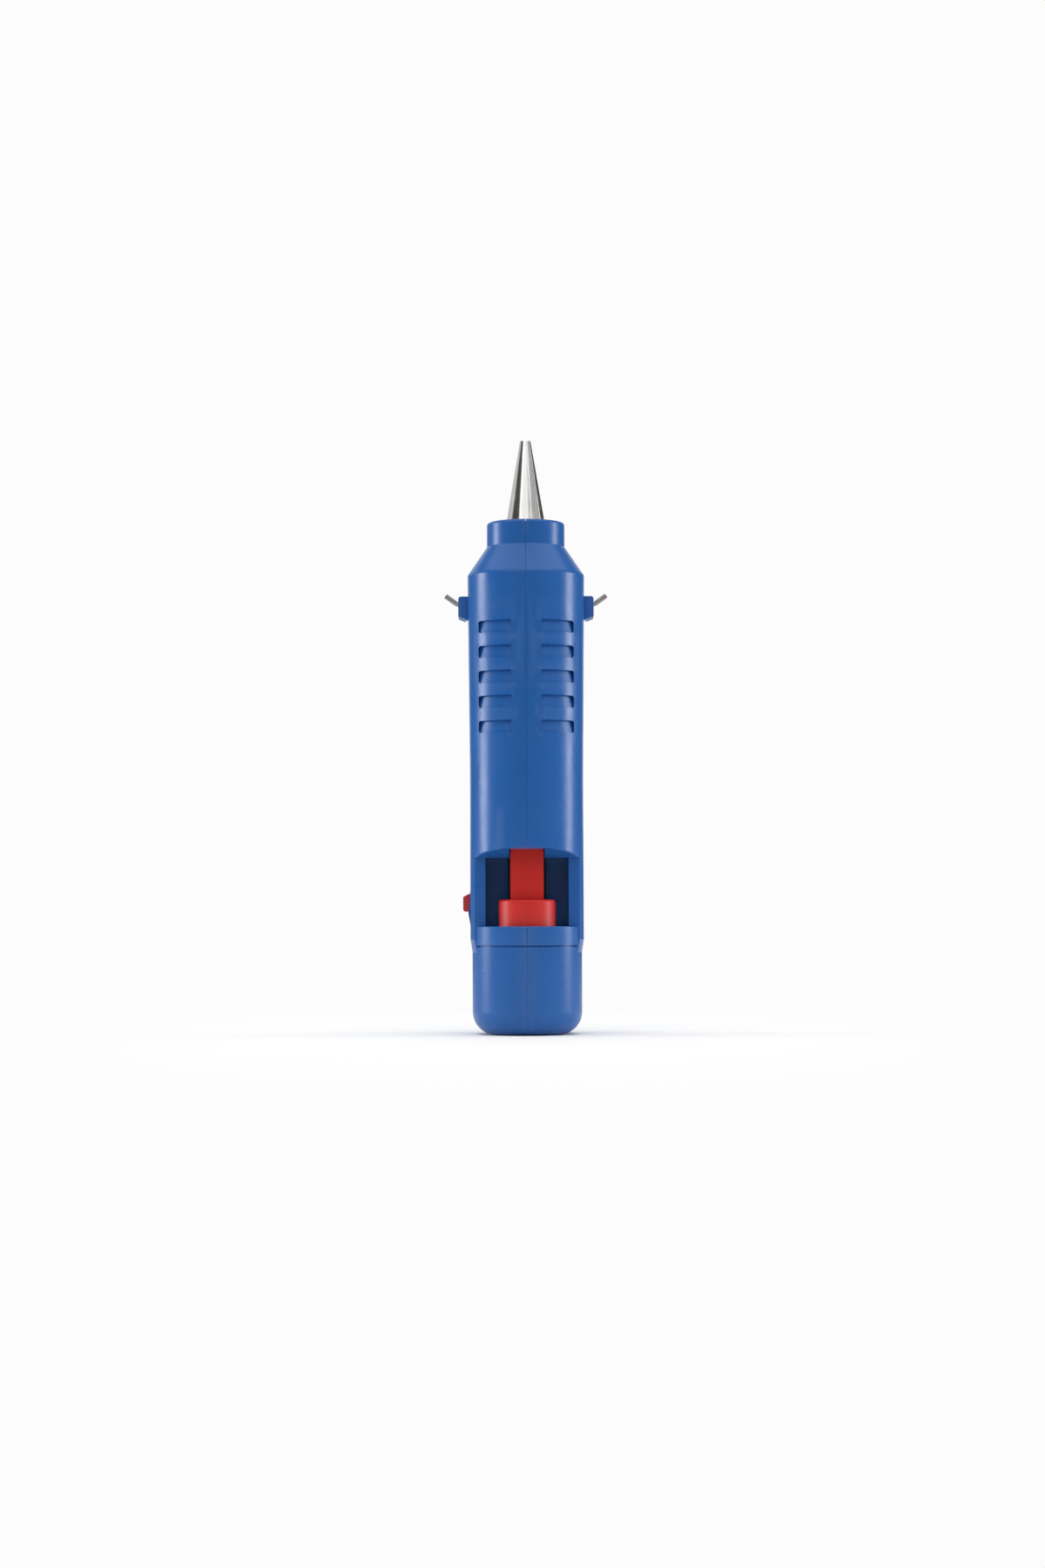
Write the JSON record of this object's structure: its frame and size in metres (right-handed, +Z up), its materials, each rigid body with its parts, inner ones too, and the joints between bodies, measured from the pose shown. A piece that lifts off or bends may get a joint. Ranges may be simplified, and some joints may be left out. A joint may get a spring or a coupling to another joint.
{
  "type": "glue gun",
  "caption": "Upright cordless hot glue gun: round barrel with vents, metal cone nozzle, finger notch with sliding trigger, power button and folding wire stand.",
  "frame": {"origin": "centre of the glue-stick inlet in the flat base that the gun stands on", "axes": "+Z up along the glue channel to the nozzle, -Y towards the finger notch, -X towards the power button"},
  "size_m": [0.0594, 0.0552, 0.2136],
  "materials": {
    "housing_plastic": "fine moulded texture, satin",
    "trigger_plastic": "smooth moulded",
    "carriage_plastic": "natural nylon",
    "black_plastic": "moulded",
    "silicone": "soft, heat proof",
    "cast_aluminium": "as cast, machined at the ends",
    "heater_ceramic": "sintered",
    "insulating_film": "amber film",
    "fuse_metal": "drawn",
    "sensor_glass": "bead",
    "holder_board": "mica board",
    "nozzle_plating": "polished plating",
    "cell_can": "plastic sleeve over a metal can",
    "nickel_strip": "rolled",
    "board_laminate": "solder mask",
    "socket_steel": "pressed",
    "led_body": "moulded",
    "clear_plastic": "polished",
    "lead_insulation": "silicone insulated",
    "spring_steel": "drawn wire and strip",
    "lever_steel": "stamped, zinc plated",
    "pin_steel": "ground",
    "screw_steel": "zinc plated",
    "stand_steel": "plated spring wire"
  },
  "bodies": {
    "housing": {"shell_left": "housing_plastic", "shell_right": "housing_plastic", "housing_screws": "screw_steel", "lever_pins": "pin_steel", "guide_tube": "black_plastic", "inlet_ring": "black_plastic", "inlet_sleeve": "silicone", "melt_chamber": "cast_aluminium", "heater_plates": "heater_ceramic", "heater_films": "insulating_film", "heater_clip": "spring_steel", "thermal_fuse": "fuse_metal", "temperature_sensor": "sensor_glass", "rear_holder": "holder_board", "front_holder": "holder_board", "nozzle": "nozzle_plating", "nozzle_insulator": "silicone", "battery_cell": "cell_can", "battery_tabs": "nickel_strip", "battery_cradle": "black_plastic", "control_board": "board_laminate", "usb_socket": "socket_steel", "power_switch": "black_plastic", "status_led": "led_body", "led_lens": "clear_plastic", "heater_leads": "lead_insulation", "switch_leads": "lead_insulation", "trigger_spring": "spring_steel"},
    "trigger": {"trigger": "trigger_plastic"},
    "levers": {"lever_left": "lever_steel", "lever_right": "lever_steel"},
    "carriage": {"feed_carriage": "carriage_plastic", "jaw_pin": "pin_steel", "jaw_spring": "spring_steel"},
    "jaw": {"grip_jaw": "lever_steel"},
    "button": {"power_button": "trigger_plastic"},
    "stand": {"stand_wire": "stand_steel"}
  },
  "joints": [
    {"name": "trigger_slide", "type": "slide", "parent": "housing", "child": "trigger", "axis": [0, 0, -1], "range_m": [0, 0.008], "stiffness_N_per_m": 600, "springref_m": -0.004, "deforming": ["trigger_spring"]},
    {"name": "lever_swing", "type": "hinge", "parent": "housing", "child": "levers", "pos_m": [0, -0.001, 0.085], "axis": [1, 0, 0], "range_deg": [0, 47.94]},
    {"name": "feeder_slide", "type": "slide", "parent": "housing", "child": "carriage", "axis": [0, 0, 1], "range_m": [0, 0.008]},
    {"name": "jaw_tilt", "type": "hinge", "parent": "carriage", "child": "jaw", "pos_m": [0, 0.0108, 0.0835], "axis": [1, 0, 0], "range_deg": [0, 8.01]},
    {"name": "power_button_press", "type": "slide", "parent": "housing", "child": "button", "axis": [1, 0, 0], "range_m": [0, 0.0012], "stiffness_N_per_m": 800, "springref_m": -0.0008},
    {"name": "stand_swing", "type": "hinge", "parent": "housing", "child": "stand", "pos_m": [0, 0.008, 0.1554], "axis": [1, 0, 0], "range_deg": [0, 110]}
  ],
  "couplings": [
    {"joint": "lever_swing", "follows": "trigger_slide", "rad_per_m": 104.56},
    {"joint": "feeder_slide", "follows": "trigger_slide", "ratio": 1},
    {"joint": "jaw_tilt", "follows": "trigger_slide", "rad_per_m": 17.453}
  ]
}
